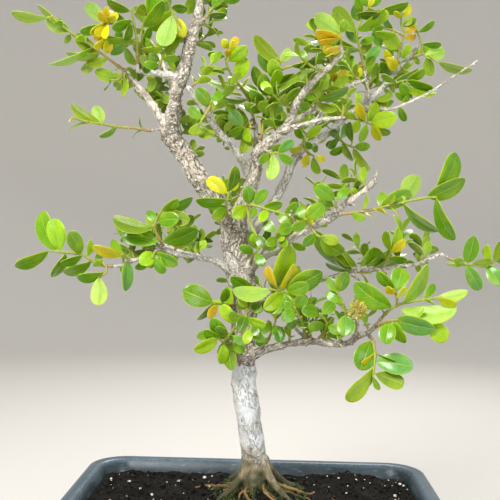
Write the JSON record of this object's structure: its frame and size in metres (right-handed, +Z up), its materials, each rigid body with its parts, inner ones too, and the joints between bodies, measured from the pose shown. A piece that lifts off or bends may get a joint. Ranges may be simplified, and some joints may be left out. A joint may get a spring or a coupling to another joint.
{
  "type": "boxwood bonsai",
  "caption": "Small upright boxwood bonsai with forking branches and glossy oval leaves, in a dark rounded rectangular pot filled with soil.",
  "frame": {"origin": "centre of the pot's flat underside", "axes": "+Z up along the trunk, +X along the pot's long side, +Y towards the back of the pot"},
  "size_m": [0.2962, 0.1827, 0.4255],
  "materials": {
    "pot": "satin",
    "soil": "matte",
    "bark": "matte",
    "leaf": "satin",
    "flower": "matte",
    "screen": "matte"
  },
  "bodies": {
    "root": {"drain_screen_left": "screen", "drain_screen_right": "screen", "flower_head": "flower", "pot": "pot", "soil": "soil", "spray_arm_mid": "leaf", "spray_arm_right_mid": "leaf", "spray_arm_right_node": "leaf", "spray_arm_right_root": "leaf", "spray_arm_tip": "leaf", "spray_arm_upper": "leaf", "spray_arm_upper_yellow": "leaf", "spray_back_crown": "leaf", "spray_back_high": "leaf", "spray_back_left": "leaf", "spray_back_low": "leaf", "spray_back_right_young": "leaf", "spray_back_top": "leaf", "spray_below_right": "leaf", "spray_bright": "leaf", "spray_centre_front": "leaf", "spray_centre_low": "leaf", "spray_centre_top": "leaf", "spray_centre_top_left": "leaf", "spray_crown_back": "leaf", "spray_crown_front": "leaf", "spray_crown_left": "leaf", "spray_crown_pale": "leaf", "spray_crown_right": "leaf", "spray_crown_tip": "leaf", "spray_far_left": "leaf", "spray_far_left_top": "leaf", "spray_far_right": "leaf", "spray_left_crown": "leaf", "spray_left_hanging": "leaf", "spray_left_thin": "leaf", "spray_left_top": "leaf", "spray_lone_left": "leaf", "spray_low_left": "leaf", "spray_low_right_fork": "leaf", "spray_low_right_stalk": "leaf", "spray_low_right_tall": "leaf", "spray_mid_left": "leaf", "spray_mid_left_low": "leaf", "spray_mid_pale": "leaf", "spray_right_hanging": "leaf", "spray_right_long": "leaf", "spray_right_lower": "leaf", "spray_right_round": "leaf", "spray_right_stem": "leaf", "spray_right_under": "leaf", "spray_right_upper": "leaf", "spray_top_right": "leaf", "spray_trunk_front": "leaf", "spray_trunk_left": "leaf", "spray_under_bright": "leaf", "spray_upper_dark": "leaf", "spray_white_mid": "leaf", "wood": "bark"}
  },
  "joints": []
}
